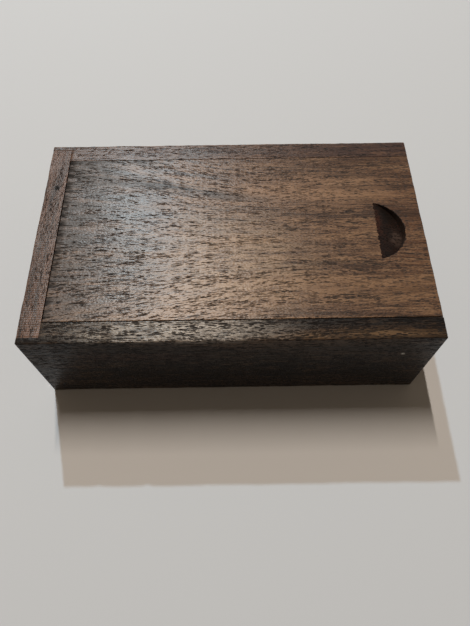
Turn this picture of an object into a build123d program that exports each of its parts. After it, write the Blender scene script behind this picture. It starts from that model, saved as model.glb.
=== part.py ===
from build123d import *

import math
import os

# Card deck box: a small walnut box with a lid that slides out of one end.
#
# Six boards make it. Two side walls run the full length. At each end a wall sits
# in a rabbet that leaves only a thin tongue of side wall outside it. The base
# panel floats in a groove round the inside. The lid is rebated on three edges, so
# its tongue runs in grooves while its top lies flush with the rims of the walls.
# It leaves over the lower end wall, drawn by a half-moon thumb notch.
#
# Frame: +X towards the open end, +Y to the back, +Z up. The origin is the centre
# of the rectangle that the box stands on. All sizes are in millimetres.

# Outside of the closed box
BOX_LENGTH = 146.0
BOX_WIDTH = 90.5
BOX_HEIGHT = 44.7
EDGE_EASE = 0.4  # radius that sanding leaves on every outer edge

# Wall boards and their corner joints
SIDE_THICKNESS = 8.0
END_THICKNESS = 7.9
CORNER_TONGUE = 2.3  # side wall left outside the end of an end wall

# Base panel, loose in its groove so that the wood can move
BASE_THICKNESS = 4.0
BASE_LIFT = 3.0  # wall below the panel
BASE_GROOVE_DEPTH = 3.5
BASE_PLAY = 0.4  # gap between the panel's edge and the bottom of its groove

# Lid: a lower tongue on three edges, and an upper field flush with the walls
LID_THICKNESS = 7.0
LID_TONGUE_THICKNESS = 3.6
LID_TONGUE_REACH = 3.4  # how far the tongue runs under the lip of a wall
LID_PLAY = 0.25  # running gap above the tongue and beyond its edge
LID_SEAM = 0.3  # gap that shows between the lid's field and a wall

# Thumb notch: a round cutter tilted towards the open end
NOTCH_RADIUS = 13.3
NOTCH_LENGTH = 10.6  # straight edge to the far rim
NOTCH_END_MARGIN = 7.1  # far rim to the lid's open end
NOTCH_TILT = 15.0  # degrees that the notch floor slopes

# Places that several boards share
HALF_LENGTH = BOX_LENGTH / 2
HALF_WIDTH = BOX_WIDTH / 2
WELL_CLOSED_X = END_THICKNESS - HALF_LENGTH
WELL_OPEN_X = HALF_LENGTH - END_THICKNESS
WELL_HALF_WIDTH = HALF_WIDTH - SIDE_THICKNESS
RABBET_DEPTH = SIDE_THICKNESS - CORNER_TONGUE
BASE_TOP = BASE_LIFT + BASE_THICKNESS
LID_FLOOR = BOX_HEIGHT - LID_THICKNESS
LID_TONGUE_TOP = LID_FLOOR + LID_TONGUE_THICKNESS
LID_GROOVE_TOP = LID_TONGUE_TOP + LID_PLAY
LID_GROOVE_DEPTH = LID_SEAM + LID_TONGUE_REACH + LID_PLAY
CUT_OVERRUN = 1.0  # how far a cutter runs past the face that it leaves by


def block(x_from, x_to, y_from, y_to, z_from, z_to):
    """A rectangular solid between two limits on each axis."""
    corner = Pos(x_from, y_from, z_from)
    size = (x_to - x_from, y_to - y_from, z_to - z_from)
    return corner * Box(*size, align=(Align.MIN, Align.MIN, Align.MIN))


def eased_envelope():
    """The outside of the closed box with its edges sanded round."""
    outside = block(-HALF_LENGTH, HALF_LENGTH, -HALF_WIDTH, HALF_WIDTH, 0, BOX_HEIGHT)
    return fillet(outside.edges(), EDGE_EASE)


def front_wall():
    """A full-length side wall, with its end rabbets and its two grooves."""
    inner = -WELL_HALF_WIDTH
    rabbet = inner - RABBET_DEPTH
    past = inner + CUT_OVERRUN
    wall = block(-HALF_LENGTH, HALF_LENGTH, -HALF_WIDTH, inner, 0, BOX_HEIGHT)
    closed_rabbet = block(
        -HALF_LENGTH - CUT_OVERRUN, WELL_CLOSED_X, rabbet, past, -CUT_OVERRUN, BOX_HEIGHT + CUT_OVERRUN
    )
    open_rabbet = block(
        WELL_OPEN_X, HALF_LENGTH + CUT_OVERRUN, rabbet, past, -CUT_OVERRUN, LID_FLOOR
    )
    base_groove = block(
        -HALF_LENGTH, HALF_LENGTH, inner - BASE_GROOVE_DEPTH, past, BASE_LIFT, BASE_TOP
    )
    lid_groove = block(
        -HALF_LENGTH, HALF_LENGTH + CUT_OVERRUN, inner - LID_GROOVE_DEPTH, past, LID_FLOOR, LID_GROOVE_TOP
    )
    return (wall - closed_rabbet - open_rabbet - base_groove - lid_groove) & eased_envelope()


def back_wall():
    """The front wall's mirror image."""
    return mirror(front_wall(), about=Plane.XZ)


def end_wall(outer, inner, top):
    """An end wall up to a height, its ends in the rabbets and its base groove cut."""
    half_span = WELL_HALF_WIDTH + RABBET_DEPTH
    inward = math.copysign(1.0, inner - outer)
    wall = block(min(outer, inner), max(outer, inner), -half_span, half_span, 0, top)
    bottom = inner - inward * BASE_GROOVE_DEPTH
    mouth = inner + inward * CUT_OVERRUN
    base_groove = block(
        min(bottom, mouth), max(bottom, mouth), -half_span, half_span, BASE_LIFT, BASE_TOP
    )
    return wall - base_groove


def closed_end_wall():
    """The tall end wall, grooved across for the lid's leading tongue."""
    half_span = WELL_HALF_WIDTH + RABBET_DEPTH
    wall = end_wall(-HALF_LENGTH, WELL_CLOSED_X, BOX_HEIGHT)
    lid_groove = block(
        WELL_CLOSED_X - LID_GROOVE_DEPTH,
        WELL_CLOSED_X + CUT_OVERRUN,
        -half_span,
        half_span,
        LID_FLOOR,
        LID_GROOVE_TOP,
    )
    return (wall - lid_groove) & eased_envelope()


def open_end_wall():
    """The low end wall that the lid slides out over."""
    return end_wall(HALF_LENGTH, WELL_OPEN_X, LID_FLOOR) & eased_envelope()


def base_panel():
    """The panel that the deck lies on, with room to move in its groove."""
    reach = BASE_GROOVE_DEPTH - BASE_PLAY
    return block(
        WELL_CLOSED_X - reach,
        WELL_OPEN_X + reach,
        -WELL_HALF_WIDTH - reach,
        WELL_HALF_WIDTH + reach,
        BASE_LIFT,
        BASE_TOP,
    )


def thumb_notch():
    """A round cutter whose flat end slopes down from the notch's straight edge."""
    tilt = math.radians(NOTCH_TILT)
    rim_x = HALF_LENGTH - NOTCH_END_MARGIN
    straight_x = rim_x - NOTCH_LENGTH
    centre_x = rim_x - NOTCH_RADIUS / math.cos(tilt)
    # The cutter's flat end passes through the straight edge, so where it
    # crosses the cutter's own axis it is still above the lid.
    lift = (straight_x - centre_x) * math.sin(tilt)
    foot_x = centre_x + lift * math.sin(tilt)
    foot_z = BOX_HEIGHT + lift * math.cos(tilt)
    cutter = Cylinder(
        NOTCH_RADIUS, LID_THICKNESS, align=(Align.CENTER, Align.CENTER, Align.MIN)
    )
    return Pos(foot_x, 0, foot_z) * Rot(0, NOTCH_TILT, 0) * cutter


def sliding_lid():
    """The rebated lid, closed, with its open end level with the end of the box."""
    field_closed_x = WELL_CLOSED_X + LID_SEAM
    field_half_width = WELL_HALF_WIDTH - LID_SEAM
    tongue = block(
        field_closed_x - LID_SEAM - LID_TONGUE_REACH,
        HALF_LENGTH,
        -WELL_HALF_WIDTH - LID_TONGUE_REACH,
        WELL_HALF_WIDTH + LID_TONGUE_REACH,
        LID_FLOOR,
        LID_TONGUE_TOP,
    )
    field = block(
        field_closed_x, HALF_LENGTH, -field_half_width, field_half_width, LID_FLOOR, BOX_HEIGHT
    )
    return ((tongue + field) & eased_envelope()) - thumb_notch()


BOARDS = {
    "front_wall": front_wall,
    "back_wall": back_wall,
    "closed_end_wall": closed_end_wall,
    "open_end_wall": open_end_wall,
    "base_panel": base_panel,
    "sliding_lid": sliding_lid,
}

os.makedirs("parts", exist_ok=True)
for name, make in BOARDS.items():
    export_step(make(), f"parts/{name}.step")
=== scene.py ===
"""Looks for the card deck box: six walnut boards, one of them a lid that slides out at the end."""

import functools
import math

import bmesh
import bpy
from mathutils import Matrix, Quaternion, Vector, noise


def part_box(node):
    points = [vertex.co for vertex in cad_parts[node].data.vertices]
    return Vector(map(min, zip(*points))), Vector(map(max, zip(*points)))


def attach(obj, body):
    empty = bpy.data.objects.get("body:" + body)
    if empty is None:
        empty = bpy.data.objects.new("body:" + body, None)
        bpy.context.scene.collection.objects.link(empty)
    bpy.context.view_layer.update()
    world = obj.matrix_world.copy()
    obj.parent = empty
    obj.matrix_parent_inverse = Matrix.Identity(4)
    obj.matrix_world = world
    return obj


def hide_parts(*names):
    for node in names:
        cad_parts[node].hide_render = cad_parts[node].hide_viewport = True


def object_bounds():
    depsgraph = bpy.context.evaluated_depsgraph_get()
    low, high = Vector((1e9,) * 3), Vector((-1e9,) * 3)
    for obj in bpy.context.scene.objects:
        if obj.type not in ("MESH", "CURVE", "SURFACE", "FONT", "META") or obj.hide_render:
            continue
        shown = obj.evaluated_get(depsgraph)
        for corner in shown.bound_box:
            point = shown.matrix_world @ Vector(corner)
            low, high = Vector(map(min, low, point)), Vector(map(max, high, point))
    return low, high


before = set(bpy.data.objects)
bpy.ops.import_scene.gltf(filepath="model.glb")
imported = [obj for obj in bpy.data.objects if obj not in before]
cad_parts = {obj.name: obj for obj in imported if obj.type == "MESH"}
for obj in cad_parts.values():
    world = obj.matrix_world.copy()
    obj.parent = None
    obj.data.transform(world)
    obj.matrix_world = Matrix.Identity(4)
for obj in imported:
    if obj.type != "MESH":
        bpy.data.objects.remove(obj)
cad_low, cad_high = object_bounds()


# ---------------------------------------------------------------- front wall
# The long side wall in front: a plain board of black walnut with its grain
# along the box, planed, rabbeted at both ends, glued up and then sanded, which
# wears its arrises round, and wiped with oil.

MM = 0.001  # sizes below are in millimetres, and Blender works in metres
OPEN_PORE = "#130D0A"
OILED_END_GRAIN = "#2A1D16"
FIBRE_RELIEF = 0.09  # deeper than the real 0.05, so that it still shows from arm's length
KNIFE_PITCH = 0.9  # between the ripples that a planer's knives leave


def linear(hex_colour):
    """An sRGB hex colour as the linear RGBA that sockets take."""
    channels = [int(hex_colour[i : i + 2], 16) / 255 for i in (1, 3, 5)]
    return [c / 12.92 if c <= 0.04045 else ((c + 0.055) / 1.055) ** 2.4 for c in channels] + [1.0]


def add_node(tree, kind, *values, sockets=None, output=0, **settings):
    """Adds a node with its properties and inputs, and returns one of its outputs, if any."""
    node = tree.nodes.new("ShaderNode" + kind)
    for name, value in settings.items():
        setattr(node, name, value)
    for name, value in {**dict(enumerate(values)), **(sockets or {})}.items():
        if isinstance(value, bpy.types.NodeSocket):
            tree.links.new(value, node.inputs[name])
        else:
            node.inputs[name].default_value = value
    return node.outputs[output] if node.outputs else None


def oiled_walnut(
    name,
    sap,
    heart,
    vein,
    grain_turn=0.0,
    tree_heart=(-8.0, -70.0),
    ring=3.2,
    board=0,
    fan=0.0,
    fan_middle=0.0,
    streaks_and_painted_light=(),
    pore_sizes=((2.4, 0.34, 0.31), (7.0, 0.32, 0.31)),
    planer_marks=0.0,
    gloss=0.40,
    ior=1.45,
):
    """Black walnut, planed, sanded and oiled: brown with purplish veins and short dark open pores.

    Oil gives a satin sheen that the fibres spread across the grain. The pattern is solid, so
    that rings and pores run on from face to face and turn to arcs and dots on end grain.

    sap, heart, vein: the light, middle and dark colours of the wood.
    grain_turn: the angle from +X to the grain.
    tree_heart: where the tree's centre lay, across the grain and up, in millimetres.
    ring: the spacing of the growth rings, in millimetres.
    board: which length of the log this is, so that no two boards match.
    fan, fan_middle: how much wider the figure is at the low end of the grain, and about where.
    streaks: each a place, its half sizes along, across and up, a strength, a colour, and how
    much duller it is; some are painted highlight or painted shade. A place and its sizes are in
    millimetres along and across the grain.
    pore_sizes: each a length and a width in millimetres, and a fullness.
    planer_marks: how strongly the ripples of the planer's knives show.
    gloss, ior: the roughness between the pores, and the index of the oiled surface.
    """
    material = bpy.data.materials.new(name)
    material.use_nodes = True
    tree = material.node_tree
    tree.nodes.clear()
    node = functools.partial(add_node, tree)
    smooth = {"interpolation_type": "SMOOTHSTEP"}
    offset = (board * 171.0, board * 59.0, board * 83.0)  # each board is from elsewhere in the log

    # Millimetres in the board, with +X along the grain
    bare = node("TexCoord", output="Object")
    turning = {"Rotation": (0, 0, -grain_turn), "Scale": (1 / MM,) * 3}
    turned = node("Mapping", bare, sockets=turning)
    own = node("VectorMath", turned, offset, operation="ADD")

    # Fibres wander by a couple of millimetres over a hand's width and ripple a little over a
    # finger's, and they spread out towards the low end
    slow = node("VectorMath", own, (55.0, 16.0, 16.0), operation="DIVIDE")
    sockets = {"Vector": slow, "Scale": 1.0, "Detail": 1.0}
    sway = node("TexNoise", sockets=sockets, output="Color")
    sway = node("VectorMath", sway, (0.5, 0.5, 0.5), operation="SUBTRACT")
    wander = node("VectorMath", sway, (0.0, 5.0, 5.0), operation="MULTIPLY")
    quick = node("VectorMath", own, (13.0, 5.0, 5.0), operation="DIVIDE")
    sockets = {"Vector": quick, "Scale": 1.0, "Detail": 0.0}
    ripple = node("TexNoise", sockets=sockets, output="Color")
    ripple = node("VectorMath", ripple, (0.5, 0.5, 0.5), operation="SUBTRACT")
    ripple = node("VectorMath", ripple, (0.0, 0.5, 0.5), operation="MULTIPLY")
    wander = node("VectorMath", wander, ripple, operation="ADD")
    swayed = node("VectorMath", turned, wander, operation="ADD")
    if fan:
        along = node("SeparateXYZ", turned, output="X")
        spread = node("MapRange", along, -80.0, 20.0, 1.0 + fan, 1.0, **smooth)
        squeeze = node("CombineXYZ", 1.0, spread, 1.0)
        swayed = node("VectorMath", swayed, (0.0, fan_middle, 0.0), operation="SUBTRACT")
        swayed = node("VectorMath", swayed, squeeze, operation="DIVIDE")
        swayed = node("VectorMath", swayed, (0.0, fan_middle, 0.0), operation="ADD")
    grain_place = node("VectorMath", swayed, offset, operation="ADD")

    # Noises whose lumps are so many millimetres along and across the grain
    noises = {}
    for part, along, across, detail in (
        ("rings", 80.0, 9.0, 1.0),
        ("broad", 55.0, 4.5, 3.0),
        ("streaky", 16.0, 0.8, 3.0),
        ("fibre", 5.0, 0.30, 2.0),
        ("crowd", 9.0, 1.5, 2.0),
        ("clumps", 9.0, 1.2, 3.0),
        ("glint", 0.8, 0.35, 0.0),
    ):
        stretched = node("VectorMath", grain_place, (along, across, across), operation="DIVIDE")
        sockets = {"Vector": stretched, "Scale": 1.0, "Detail": detail, "Roughness": 0.55}
        noises[part] = node("TexNoise", sockets=sockets)

    # Growth rings: each darkens slowly and ends sharply
    from_heart = node("VectorMath", swayed, (0.0, *tree_heart), operation="SUBTRACT")
    from_heart = node("VectorMath", from_heart, (0.0, 1.0, 1.0), operation="MULTIPLY")
    radius = node("VectorMath", from_heart, operation="LENGTH", output=1)
    uneven = node("Math", noises["rings"], 1.6, operation="MULTIPLY")
    phase = node("Math", radius, 1 / ring, uneven, operation="MULTIPLY_ADD")
    phase = node("Math", phase, operation="FRACT")
    darkening = node("MapRange", phase, 0.25, 0.9, **smooth)
    ending = node("MapRange", phase, 1.0, 0.9, **smooth)
    late_wood = node("Math", darkening, ending, operation="MULTIPLY")

    # Broad colour, then fine fibre streaks
    tone = noises["broad"]
    shares = ("streaky", 1.15), ("fibre", 0.55), ("glint", 0.5)
    for layer, weight in [(noises[part], share) for part, share in shares] + [(late_wood, -0.18)]:
        tone = node("Math", layer, weight, tone, operation="MULTIPLY_ADD")
    tone = node("MapRange", tone, 1.05, 1.94, **smooth)
    colour = node("ValToRGB", tone)
    stops = colour.node.color_ramp.elements
    stops[0].color = linear(vein)
    stops[1].color = linear(sap)
    stops.new(0.45).color = linear(heart)

    # A mineral streak is a clump of darker or paler fibre, and is spindle-shaped. The same spindles
    # also lay painted highlight and painted shade on some boards.
    clumps = node("MapRange", noises["clumps"], 0.35, 0.62, 0.25, 1.0, **smooth)
    dull = 0.0
    for place, size, strength, tint, dullness in streaks_and_painted_light:
        reach = node("VectorMath", swayed, place, operation="SUBTRACT")
        reach = node("VectorMath", reach, size, operation="DIVIDE")
        reach = node("VectorMath", reach, operation="LENGTH", output=1)
        inside = node("MapRange", reach, 1.15, 0.25, 0.0, strength, **smooth)
        inside = node("Math", inside, clumps, operation="MULTIPLY")
        sockets = {6: colour, 7: linear(tint)}
        colour = node("Mix", inside, sockets=sockets, data_type="RGBA", output=2)
        dull = node("Math", inside, dullness, dull, operation="MULTIPLY_ADD")

    # Pores are open tubes along the grain, cut through as short dark dashes and crowded in the
    # early wood. Real ones are 0.2 mm across, and these are twice that, to show at arm's length.
    crowd = node("MapRange", noises["crowd"], 0.3, 0.7, -0.14, 0.12)
    crowd = node("Math", late_wood, -0.08, crowd, operation="MULTIPLY_ADD")
    pores = 0.0
    for length, width, fullness in pore_sizes:
        stretched = node("VectorMath", grain_place, (length, width, width), operation="DIVIDE")
        distance = node("TexVoronoi", sockets={"Vector": stretched, "Scale": 1.0})
        chance = node("SeparateColor", distance.node.outputs["Color"])
        reach = node("Math", chance, 0.30, fullness - 0.15, operation="MULTIPLY_ADD")
        reach = node("Math", reach, crowd, operation="ADD")
        inside = node("Math", reach, distance, operation="SUBTRACT")
        inside = node("MapRange", inside, -0.05, 0.07, **smooth)
        pores = node("Math", pores, inside, operation="MAXIMUM")
    darker = node("Math", pores, 0.9, operation="MULTIPLY")
    sockets = {6: colour, 7: linear(OPEN_PORE)}
    colour = node("Mix", darker, sockets=sockets, data_type="RGBA", output=2)

    # End grain drinks more oil, so it is darker
    facing = node("NewGeometry", output="Normal")
    grain = (math.cos(grain_turn), math.sin(grain_turn), 0.0)
    end_on = node("VectorMath", facing, grain, operation="DOT_PRODUCT", output=1)
    end_on = node("Math", end_on, operation="ABSOLUTE")
    darker = node("MapRange", end_on, 0.35, 0.95, 0.0, 0.6, **smooth)
    sockets = {6: colour, 7: linear(OILED_END_GRAIN)}
    colour = node("Mix", darker, sockets=sockets, data_type="RGBA", output=2)

    # The pores and the raised fibres roughen the surface
    height = node("Math", noises["fibre"], 0.5, operation="MULTIPLY")
    height = node("Math", noises["glint"], 0.6, height, operation="MULTIPLY_ADD")
    height = node("Math", pores, -0.8, height, operation="MULTIPLY_ADD")
    if planer_marks:
        across = node("SeparateXYZ", own, output="X")
        chatter = node("Math", across, 2 * math.pi / KNIFE_PITCH, operation="MULTIPLY")
        chatter = node("Math", chatter, operation="SINE")
        height = node("Math", chatter, planer_marks, height, operation="MULTIPLY_ADD")
    sockets = {"Strength": 1.0, "Distance": FIBRE_RELIEF * MM, "Height": height}
    bump = node("Bump", sockets=sockets)
    rough = node("Math", noises["streaky"], 0.12, gloss - 0.06, operation="MULTIPLY_ADD")
    rough = node("Math", pores, 0.45, rough, operation="MULTIPLY_ADD")
    rough = node("Math", rough, dull, operation="ADD")
    sockets = {
        "Base Color": colour,
        "Roughness": rough,
        "IOR": ior,
        "Anisotropic": 0.35,
        "Anisotropic Rotation": 0.25,
        "Tangent": node("CombineXYZ", *grain),
        "Normal": bump,
    }
    node("OutputMaterial", node("BsdfPrincipled", sockets=sockets))
    return material


WELD = 0.001  # points closer than this are one
ARRIS = 0.12  # the sharp inner arrises are just taken off with sandpaper
SLICE = 1.0  # spacing of the cuts that give the arrises vertices to wear
WEAR_WIDTH = 1.1  # how far in from an outer edge sanding reaches
WEAR_DEPTH = 0.10  # what it takes off at the edge
WEAR_UNEVEN = 1.6  # how much that varies
WEAR_PATCH = 7.0  # and over what length
CREASE = math.radians(35)  # an edge that turns more than this is crisp


def sliced_board(node, slices):
    """A merged copy of a board, its sharp arrises eased and cut across at each (axis, place)."""
    mesh = bmesh.new()
    mesh.from_mesh(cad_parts[node].data)
    bmesh.ops.remove_doubles(mesh, verts=mesh.verts, dist=WELD * MM)
    flat = math.radians(1)
    bmesh.ops.dissolve_limit(mesh, angle_limit=flat, verts=mesh.verts, edges=mesh.edges)
    square = math.radians(60)
    sharp = [e for e in mesh.edges if e.is_convex and e.calc_face_angle(0) > square]
    bmesh.ops.bevel(
        mesh, geom=sharp, offset=ARRIS * MM, segments=2, profile=0.5, affect="EDGES", material=-1
    )
    for axis, place in slices:
        normal = Vector((0, 0, 0))
        normal[axis] = 1
        bmesh.ops.bisect_plane(
            mesh,
            geom=[*mesh.verts, *mesh.edges, *mesh.faces],
            dist=WELD * MM,
            plane_co=normal * place,
            plane_no=normal,
        )
    return mesh


def cuts(axis, low, high, step=SLICE * MM):
    """Evenly spaced cuts across an axis, strictly between two places."""
    count = round((high - low) / step)
    return [(axis, low + (high - low) * i / count) for i in range(1, count)]


def edge_cuts(axis, low, high):
    """Cuts close inside both ends of an axis, where the arrises are."""
    steps = (0.25, 0.55, WEAR_WIDTH)
    return [(axis, low + s * MM) for s in steps] + [(axis, high - s * MM) for s in steps]


def wall_cuts(node, grain_axis):
    """Cuts all along a wall's grain, and close inside the ends of the other two axes."""
    low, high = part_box(node)
    wall = cuts(grain_axis, low[grain_axis], high[grain_axis])
    for axis in range(3):
        if axis != grain_axis:
            wall += edge_cuts(axis, low[axis], high[axis])
    return wall


def wear_edges(mesh, seed, chips=()):
    """Sands the box's outer arrises unevenly, and knocks each (place, length, depth) chip out."""
    for vertex in mesh.verts:
        place = vertex.co
        inward = Vector((0, 0, 0))
        nearness = []
        for axis in range(3):
            for limit, way in ((cad_low[axis], 1), (cad_high[axis], -1)):
                gap = (place[axis] - limit) * way / MM
                if gap < WEAR_WIDTH:
                    inward[axis] += way
                    nearness.append(1 - gap / WEAR_WIDTH)
        if len(nearness) < 2:
            continue
        nearness.sort()
        share = nearness[-1] * nearness[-2]
        patch = place / (WEAR_PATCH * MM) + Vector((seed, 0, 0))
        rub = 1 + WEAR_UNEVEN * noise.fractal(patch, 1.0, 2.0, 3)
        depth = WEAR_DEPTH * max(rub, 0)
        for chip, length, bite in chips:
            away = (place - Vector(chip) * MM).length / MM
            depth += bite * max(0, 1 - away / length)
        vertex.co = place + inward * depth * share * MM


def finished(mesh, node, body, material):
    """Turns a board's mesh into the piece that stands for its node."""
    bmesh.ops.recalc_face_normals(mesh, faces=mesh.faces)
    for face in mesh.faces:
        face.smooth = True
    for edge in mesh.edges:
        cut_across = len({face.material_index for face in edge.link_faces}) > 1
        edge.smooth = edge.calc_face_angle(0) < CREASE and not cut_across
    data = bpy.data.meshes.new(node + "_board")
    mesh.to_mesh(data)
    mesh.free()
    data.materials.append(material)
    piece = bpy.data.objects.new(node + "_board", data)
    bpy.context.scene.collection.objects.link(piece)
    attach(piece, body)
    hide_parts(node)
    return piece


front_mesh = sliced_board("front_wall", wall_cuts("front_wall", 0))
front_rim = (cad_low.y / MM, cad_high.z / MM)
FRONT_CHIPS = [
    ((-60.0, *front_rim), 1.3, 0.35),
    ((-42.0, *front_rim), 1.6, 0.55),
    ((-20.0, *front_rim), 1.2, 0.40),
    ((31.0, *front_rim), 1.1, 0.30),
]
wear_edges(front_mesh, 3.0, FRONT_CHIPS)
front_walnut = oiled_walnut(
    "front_walnut",
    sap="#4C3A2B",
    heart="#261D18",
    vein="#120E0B",
    board=1,
    tree_heart=(-95.0, 10.0),
    ring=2.6,
    streaks_and_painted_light=[
        # On the rim, a dark band by the lid and a golden one outside it
        ((54.0, -38.8, 44.0), (50.0, 2.6, 9.0), 1.0, "#0E0B0A", 0.25),
        ((40.0, -43.9, 44.0), (56.0, 2.4, 6.0), 0.6, "#82664A", 0.0),
        # A painted highlight: a pale stretch of the rim that stands in for the lamps' sheen on it,
        # and is a little glossier too
        ((-26.0, -41.5, 48.0), (58.0, 12.0, 5.0), 1.7, "#938A80", -0.05),
        # On the face, a reddish cloud, a fleck of dried glue, and painted shade that darkens the
        # whole face nearly to black, most in its lower half
        ((-32.0, -45.0, 32.5), (34.0, 5.0, 4.0), 0.7, "#4A2A1E", 0.0),
        ((61.0, -45.2, 32.7), (0.8, 4.0, 0.8), 6.0, "#D8D4CC", 0.0),
        # Painted shade: the face turned away from the lamps, darkened nearly to black
        ((0.0, -46.5, 18.0), (150.0, 3.0, 30.0), 1.2, "#0E0A08", 0.0),
        ((-68.0, -44.0, 43.0), (20.0, 2.6, 12.0), 0.8, "#1B1613", 0.05),
        ((-30.0, -45.0, 37.0), (48.0, 6.0, 1.6), 0.8, "#17110E", 0.0),
    ],
    pore_sizes=((2.0, 0.50, 0.41), (5.0, 0.38, 0.36)),
    gloss=0.33,
    ior=1.30,
)
finished(front_mesh, "front_wall", "box", front_walnut)


# ----------------------------------------------------------------- back wall
# The front wall's twin, from a redder and closer-grained length of walnut, with
# the same groove for the lid. It is glued and sanded as the front wall is.

BACK_SEAM_CLOSED = 0.12  # the lid sits a little closer to this wall than to the front one
LIP_OUTSIDE = 6.0  # the lip over the lid's groove starts this far in from the outer face
LIP_HEIGHT = 2.5

back_mesh = sliced_board("back_wall", wall_cuts("back_wall", 0))
wear_edges(back_mesh, 11.0)
low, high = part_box("back_wall")
for vertex in back_mesh.verts:
    if vertex.co.y < high.y - LIP_OUTSIDE * MM and vertex.co.z > high.z - LIP_HEIGHT * MM:
        vertex.co.y -= BACK_SEAM_CLOSED * MM
back_walnut = oiled_walnut(
    "back_walnut",
    sap="#705340",
    heart="#50382B",
    vein="#2C1E18",
    board=2,
    tree_heart=(60.0, -40.0),
    ring=3.0,
    streaks_and_painted_light=[((70.0, 42.0, 44.0), (66.0, 8.0, 12.0), 0.9, "#37201A", 0.05)],
    pore_sizes=((2.6, 0.34, 0.30), (6.0, 0.36, 0.28)),
    gloss=0.37,
)
finished(back_mesh, "back_wall", "box", back_walnut)


# ----------------------------------------------------------- closed end wall
# The full-height end wall. Its grain runs across the box, and its ends sit in
# the rabbets of the long walls. Planer marks cross it, and it has a pin knot.

closed_mesh = sliced_board("closed_end_wall", wall_cuts("closed_end_wall", 1))
wear_edges(closed_mesh, 23.0)
closed_walnut = oiled_walnut(
    "closed_end_walnut",
    sap="#6F5243",
    heart="#4F392D",
    vein="#30221B",
    grain_turn=math.pi / 2,
    board=3,
    tree_heart=(110.0, -25.0),
    ring=1.7,
    streaks_and_painted_light=[((22.8, 68.4, 44.0), (1.3, 1.1, 12.0), 4.0, "#0C0807", 0.2)],
    pore_sizes=((1.3, 0.26, 0.28), (2.6, 0.26, 0.26)),
    planer_marks=0.25,
)
finished(closed_mesh, "closed_end_wall", "box", closed_walnut)


# ------------------------------------------------------------- open end wall
# The low end wall under the lid's open end, of walnut with its grain across the
# box. It is glued into the same rabbets, and its top is the last of the lid's track.

open_mesh = sliced_board("open_end_wall", wall_cuts("open_end_wall", 1))
wear_edges(open_mesh, 31.0)
open_walnut = oiled_walnut(
    "open_end_walnut",
    sap="#76583F",
    heart="#543D2F",
    vein="#30231C",
    grain_turn=math.pi / 2,
    board=4,
    tree_heart=(-70.0, -30.0),
    ring=2.4,
)
finished(open_mesh, "open_end_wall", "box", open_walnut)


# ---------------------------------------------------------------- base panel
# A thin flat-sawn panel that floats in a groove round the inside. It is only
# wiped with oil, so it is duller than the outside.

BASE_SLICE = 4.0  # nothing wears the panel's edges, so its slices are wide

low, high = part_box("base_panel")
base_slices = [
    *cuts(0, low.x, high.x, BASE_SLICE * MM),
    *cuts(1, low.y, high.y, BASE_SLICE * MM),
]
base_mesh = sliced_board("base_panel", base_slices)
base_walnut = oiled_walnut(
    "base_walnut",
    sap="#836449",
    heart="#5F4633",
    vein="#3B2B20",
    board=5,
    tree_heart=(12.0, -90.0),
    ring=3.6,
    gloss=0.55,
)
finished(base_mesh, "base_panel", "box", base_walnut)


# --------------------------------------------------------------- sliding lid
# The show piece: a flat-sawn board rebated on three edges, so that its tongue
# runs in the grooves. A tilted round cutter has sunk the thumb notch, and has
# torn and burnished the fibres that it cut across.

NOTCH_SPAN = (4.5, 18.5)  # the slices leave the notch whole, so far from the open end
NOTCH_FOUND = (3.0, 20.0)  # the faces cut by the round cutter are so far from the open end,
NOTCH_REACH = 16.0  # this near to the middle of the lid
NOTCH_DEEPEST = 5.0  # and no lower than this under its top
SKIN = 0.01  # what is nearer to the top than this is at the top
RIM_STEP = 0.25  # spacing across the grain of the fibres that may tear
RIM_TORN = 0.55  # how far torn fibres break the notch's rim, along the grain
FIBRE_BUNDLE = 0.45  # width of a torn bundle of fibres
BROAD_TEAR = 1.3  # width of a broader tear
TIP_WHOLE = 1.2  # near the notch's tips the tearing dies away

low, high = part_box("sliding_lid")
lid_slices = [
    (axis, place)
    for axis, place in cuts(0, low.x, high.x)
    if not NOTCH_SPAN[0] < (high.x - place) / MM < NOTCH_SPAN[1]
]
lid_slices += cuts(1, low.y, high.y) + edge_cuts(2, low.z, high.z)
lid_mesh = sliced_board("sliding_lid", lid_slices)
for face in lid_mesh.faces:
    middle = face.calc_center_median()
    if (
        abs(middle.y) < NOTCH_REACH * MM
        and NOTCH_FOUND[0] * MM < high.x - middle.x < NOTCH_FOUND[1] * MM
        and SKIN / 2 * MM < high.z - middle.z < NOTCH_DEEPEST * MM
        and face.normal.z > -0.5
    ):
        face.material_index = 1
for axis, place in cuts(1, -NOTCH_REACH * MM, NOTCH_REACH * MM, RIM_STEP * MM):
    sunk = [face for face in lid_mesh.faces if face.material_index == 1]
    region = dict.fromkeys(part for face in sunk for part in (face, *face.edges, *face.verts))
    bmesh.ops.bisect_plane(
        lid_mesh,
        geom=list(region),
        dist=WELD * MM,
        plane_co=(0, place, 0),
        plane_no=(0, 1, 0),
    )
sunk = [face for face in lid_mesh.faces if face.material_index == 1]
rim = {v for face in sunk for v in face.verts if v.co.z > high.z - SKIN * MM}
tip = max(vertex.co.y for vertex in rim)
for vertex in rim:
    torn = noise.noise(vertex.co / (FIBRE_BUNDLE * MM))
    torn += 0.6 * noise.noise(vertex.co / (BROAD_TEAR * MM))
    room = min(1, (tip - abs(vertex.co.y)) / (TIP_WHOLE * MM))
    vertex.co.x += torn * room * RIM_TORN * MM
wear_edges(lid_mesh, 41.0)
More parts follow.
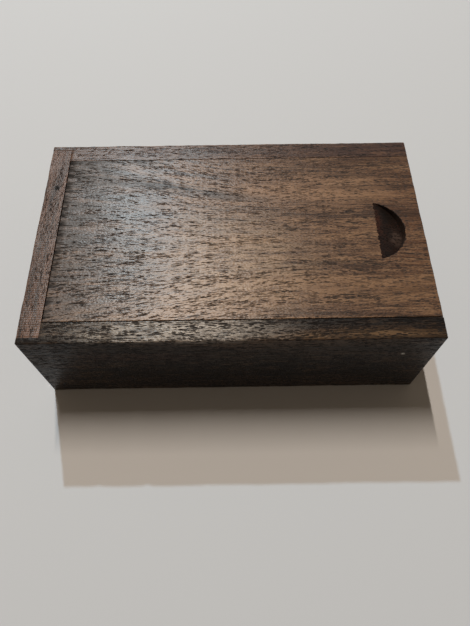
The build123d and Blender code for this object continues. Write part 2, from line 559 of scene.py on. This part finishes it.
lid_walnut = oiled_walnut(
    "lid_walnut",
    sap="#8A6B50",
    heart="#604736",
    vein="#33241B",
    board=6,
    tree_heart=(5.0, -60.0),
    ring=3.4,
    fan=0.5,
    fan_middle=-8.0,
    streaks_and_painted_light=[
        # Dark veins along the back half and beside the notch
        ((-18.0, 17.0, 44.0), (56.0, 2.8, 12.0), 1.0, "#2A1E18", 0.08),
        ((40.0, 31.2, 44.0), (46.0, 0.7, 12.0), 0.9, "#22170F", 0.0),
        ((60.0, 34.0, 44.0), (50.0, 4.0, 12.0), 0.6, "#402819", 0.0),
        ((36.0, -15.5, 44.0), (42.0, 2.0, 12.0), 0.8, "#2E1F18", 0.0),
        # Paler, golden wood in the middle and along the front, with a painted highlight in the
        # middle
        ((20.0, -26.0, 44.0), (75.0, 8.0, 12.0), 0.7, "#8C6C50", 0.0),
        # A painted highlight: a pale patch that stands in for the warm tube's sheen
        ((2.0, -14.0, 44.0), (36.0, 30.0, 20.0), 0.8, "#9D8268", 0.0),
        # Paler, golden wood
        ((32.0, 20.0, 44.0), (40.0, 9.0, 12.0), 0.8, "#92735A", 0.0),
        # Redder at the open end, and darker and duller towards the closed one, partly in the wood
        # and partly painted shade where the lamps' sheen falls off
        ((80.0, 0.0, 44.0), (34.0, 40.0, 20.0), 0.4, "#5A3722", 0.0),
        # Painted shade in part: two darker, duller patches where the sheen fades towards the closed
        # end
        ((-74.0, 10.0, 44.0), (32.0, 70.0, 20.0), 1.0, "#332821", 0.12),
        ((-62.0, 34.0, 44.0), (40.0, 20.0, 20.0), 1.0, "#2A231F", 0.12),
        # Darker wood, a little glossier, under the cool lamp's sheen
        ((-46.0, 0.0, 44.0), (26.0, 70.0, 20.0), 0.7, "#453930", -0.02),
        # A dark, dull band of wood beside the joint with the closed end
        ((-65.3, 0.0, 44.0), (3.4, 120.0, 20.0), 1.0, "#17120F", 0.4),
        ((54.0, 7.5, 44.0), (34.0, 2.2, 12.0), 0.8, "#2E1F18", 0.0),
    ],
    pore_sizes=((2.2, 0.28, 0.31), (6.0, 0.29, 0.31)),
    gloss=0.36,
    ior=1.45,
)
lid = finished(lid_mesh, "sliding_lid", "lid", lid_walnut)

# Inside the notch the cutter has crossed the fibres, which drink more oil, so the wood is nearly
# black and duller. A pale patch near the arc is a painted highlight, and a dark patch at its back
# is painted shade.
notch_walnut = oiled_walnut(
    "cut_across_walnut",
    sap="#2B1912",
    heart="#1B100B",
    vein="#0F0907",
    board=6,
    ring=3.4,
    streaks_and_painted_light=[
        # Paler by the straight edge
        ((55.5, 4.0, 42.0), (2.8, 8.0, 8.0), 0.8, "#46261A", 0.0),
        # A painted highlight: a pale grey patch near the arc
        ((62.5, -2.5, 42.0), (3.4, 5.0, 8.0), 0.9, "#4A3C35", 0.0),
        # Painted shade where the back of the notch shades its floor
        ((61.0, 7.0, 42.0), (4.5, 5.0, 8.0), 0.9, "#120B08", 0.0),
        # A darker patch towards the front
        ((58.0, -9.0, 42.0), (3.5, 5.0, 8.0), 0.8, "#120B08", 0.0),
    ],
    pore_sizes=((1.2, 0.5, 0.36),),
    gloss=0.55,
    ior=1.28,
)
lid.data.materials.append(notch_walnut)


# ------------------------------------------------------ table, lamps, camera
# A plain pale table top, lit from above and behind by a small cool lamp and a
# long warm tube, which throw the box's shadow towards the viewer.

TABLE_HALF = 4.0  # metres
TABLE_GAP = 0.02  # millimetres under the box
FADE = (0.4, 1.4)  # metres from the box where the table turns to backdrop
BACKDROP = linear("#D9DBDC")

floor_mesh = bmesh.new()
bmesh.ops.create_grid(floor_mesh, x_segments=1, y_segments=1, size=TABLE_HALF)
floor_data = bpy.data.meshes.new("table_top")
floor_mesh.to_mesh(floor_data)
floor_mesh.free()
floor = bpy.data.objects.new("table_top", floor_data)
bpy.context.scene.collection.objects.link(floor)
floor.location.z = cad_low.z - TABLE_GAP * MM

# Matt laminate, even and pale. Far from the box the camera and the gloss see the studio's
# pale backdrop in its place.
laminate = bpy.data.materials.new("matt_laminate")
laminate.use_nodes = True
laminate.node_tree.nodes.clear()
table = functools.partial(add_node, laminate.node_tree)


def seen(node):
    """1 where the camera, or gloss or glass that it sees, looks, and 0 for the light itself."""
    rays = node("LightPath").node.outputs
    mirrored = node("Math", rays["Is Glossy Ray"], rays["Is Transmission Ray"], operation="MAXIMUM")
    return node("Math", rays["Is Camera Ray"], mirrored, operation="MAXIMUM")


matt = {"Base Color": linear("#D0D5DB"), "Roughness": 0.7, "Specular IOR Level": 0.2}
away = table("VectorMath", table("TexCoord", output="Object"), operation="LENGTH", output=1)
away = table("MapRange", away, *FADE, interpolation_type="SMOOTHSTEP")
away = table("Math", away, seen(table), operation="MULTIPLY")
sweep = table("Emission", BACKDROP, 1.0)
table("OutputMaterial", table("MixShader", away, table("BsdfPrincipled", sockets=matt), sweep))
floor_data.materials.append(laminate)


def add_lamp(name, place, size, power, colour):
    """A soft rectangular lamp of a size and at a place in metres, facing down."""
    data = bpy.data.lights.new(name, "AREA")
    data.shape = "RECTANGLE"
    data.size, data.size_y = size
    data.energy = power
    data.color = linear(colour)[:3]
    lamp = bpy.data.objects.new(name, data)
    lamp.location = place
    bpy.context.scene.collection.objects.link(lamp)
    return lamp


bulb = add_lamp(
    "cool_lamp", place=(-0.476, 1.678, 2.023), size=(0.05, 0.05), power=28.0, colour="#D8F0FD"
)
bulb.rotation_euler = Vector(bulb.location).to_track_quat("Z", "Y").to_euler()
add_lamp("warm_tube", place=(-0.228, 0.76, 2.02), size=(0.03, 0.80), power=28.6, colour="#FFECD8")

# The room is dimmer on the viewer's side of the table than behind it. The camera and the
# gloss see the pale backdrop low down, all round.
ROOM_LIGHT = (0.12, 0.155)  # on the viewer's side, and behind

world = bpy.data.worlds.new("room")
world.use_nodes = True
world.node_tree.nodes.clear()
room = functools.partial(add_node, world.node_tree)
gaze = room("SeparateXYZ", room("TexCoord", output="Generated")).node.outputs
strength = room("MapRange", gaze["Y"], -0.8, 0.8, *ROOM_LIGHT)
dim = room("Background", linear("#FFDFBC"), strength)
low_down = room("MapRange", gaze["Z"], 0.55, 0.3, interpolation_type="SMOOTHSTEP")
low_down = room("Math", low_down, seen(room), operation="MULTIPLY")
room("OutputWorld", room("MixShader", low_down, dim, room("Background", BACKDROP, 1.0)))
bpy.context.scene.world = world

CAMERA_PLACE = Vector((1.17, -119.9, 204.1)) * MM
CAMERA_AIM = Vector((1.40, -22.4, 22.0)) * MM
CAMERA_ROLL = math.radians(-0.71)
FOCAL_LENGTH = 30.16  # for a 36 mm frame's long side

camera_data = bpy.data.cameras.new("camera")
camera_data.lens = FOCAL_LENGTH
camera_data.sensor_width = 36.0
camera_data.clip_start = 0.005
camera = bpy.data.objects.new("camera", camera_data)
camera.location = CAMERA_PLACE
level = (CAMERA_AIM - CAMERA_PLACE).to_track_quat("-Z", "Y")
camera.rotation_euler = (level @ Quaternion((0, 0, 1), CAMERA_ROLL)).to_euler()
bpy.context.scene.collection.objects.link(camera)
bpy.context.scene.camera = camera
bpy.context.scene.view_settings.view_transform = "Standard"
